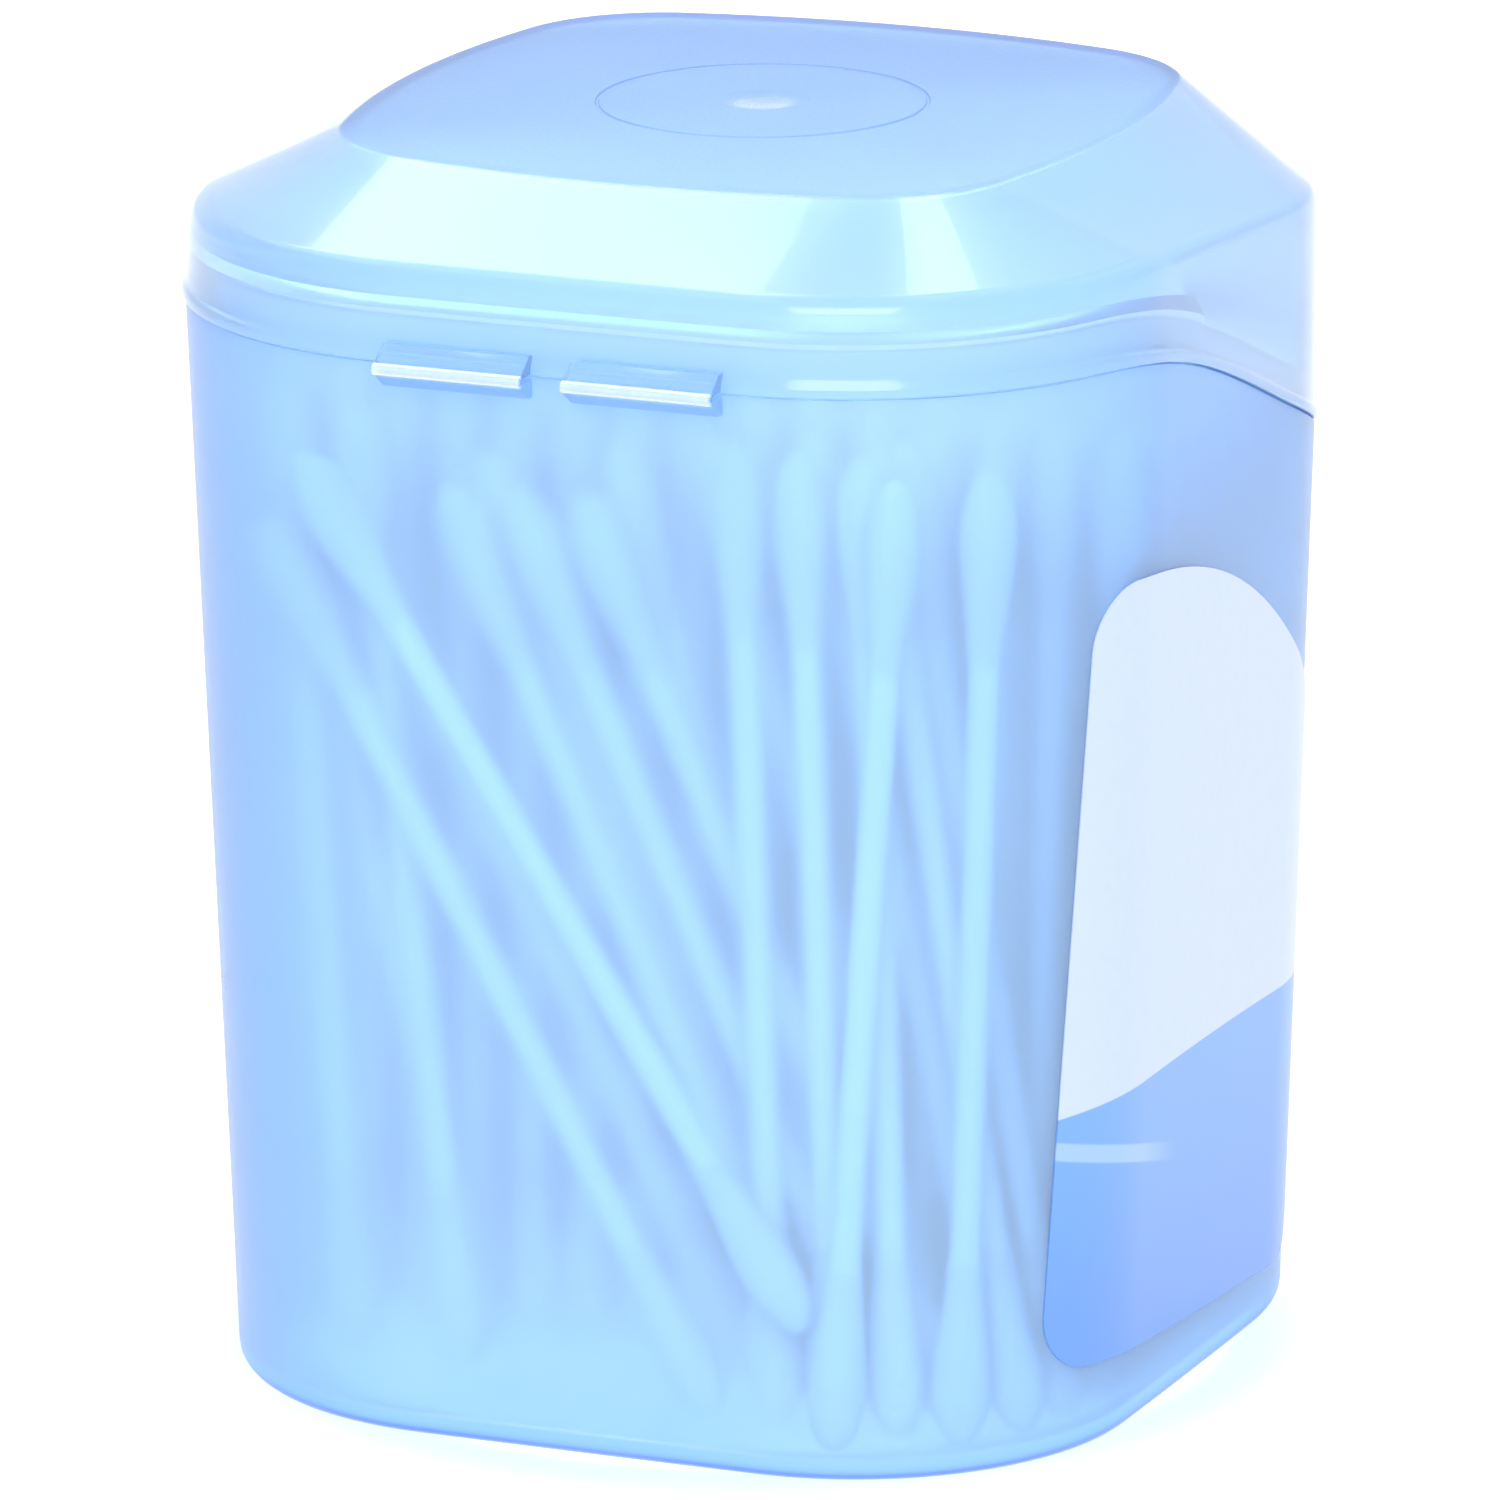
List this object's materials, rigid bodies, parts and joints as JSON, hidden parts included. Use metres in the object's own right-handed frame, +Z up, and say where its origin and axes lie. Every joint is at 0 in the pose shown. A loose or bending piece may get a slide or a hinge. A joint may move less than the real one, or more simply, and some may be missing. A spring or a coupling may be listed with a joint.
{
  "type": "cotton swab tub",
  "caption": "Translucent flip-top tub with rounded corners and a hinged lid, filled with upright double-ended cotton swabs, with a label on one side.",
  "frame": {"origin": "centre of the tub's flat underside", "axes": "+Z up out of the tub, +Y towards the hinge, -X towards the label"},
  "size_m": [0.0754, 0.0773, 0.0934],
  "materials": {
    "tub_plastic": "translucent pale blue polypropylene, satin gloss",
    "lid_plastic": "translucent pale blue polypropylene, gloss slopes and a matt flat top",
    "hinge_film": "thin folded polypropylene film",
    "label_print": "printed film label, pale field over a blue field",
    "stick_paper": "rolled white paper",
    "cotton": "wound white cotton"
  },
  "bodies": {
    "tub": {"tub": "tub_plastic", "hinge_strap_left": "hinge_film", "hinge_strap_right": "hinge_film", "label": "label_print", "swab_sticks_row_01": "stick_paper", "swab_sticks_row_02": "stick_paper", "swab_sticks_row_03": "stick_paper", "swab_sticks_row_04": "stick_paper", "swab_sticks_row_05": "stick_paper", "swab_sticks_row_06": "stick_paper", "swab_sticks_row_07": "stick_paper", "swab_sticks_row_08": "stick_paper", "swab_sticks_row_09": "stick_paper", "swab_sticks_row_10": "stick_paper", "swab_sticks_row_11": "stick_paper", "swab_sticks_row_12": "stick_paper", "swab_sticks_row_13": "stick_paper", "swab_sticks_row_14": "stick_paper", "swab_feet_row_01": "cotton", "swab_feet_row_02": "cotton", "swab_feet_row_03": "cotton", "swab_feet_row_04": "cotton", "swab_feet_row_05": "cotton", "swab_feet_row_06": "cotton", "swab_feet_row_07": "cotton", "swab_feet_row_08": "cotton", "swab_feet_row_09": "cotton", "swab_feet_row_10": "cotton", "swab_feet_row_11": "cotton", "swab_feet_row_12": "cotton", "swab_feet_row_13": "cotton", "swab_feet_row_14": "cotton", "swab_heads_row_01": "cotton", "swab_heads_row_02": "cotton", "swab_heads_row_03": "cotton", "swab_heads_row_04": "cotton", "swab_heads_row_05": "cotton", "swab_heads_row_06": "cotton", "swab_heads_row_07": "cotton", "swab_heads_row_08": "cotton", "swab_heads_row_09": "cotton", "swab_heads_row_10": "cotton", "swab_heads_row_11": "cotton", "swab_heads_row_12": "cotton", "swab_heads_row_13": "cotton", "swab_heads_row_14": "cotton"},
    "lid": {"lid": "lid_plastic"}
  },
  "joints": [
    {"name": "lid_hinge", "type": "hinge", "parent": "tub", "child": "lid", "pos_m": [0, 0.0396, 0.08135], "axis": [-1, 0, 0], "range_deg": [0, 180], "deforming": ["hinge_strap_left", "hinge_strap_right"]}
  ]
}
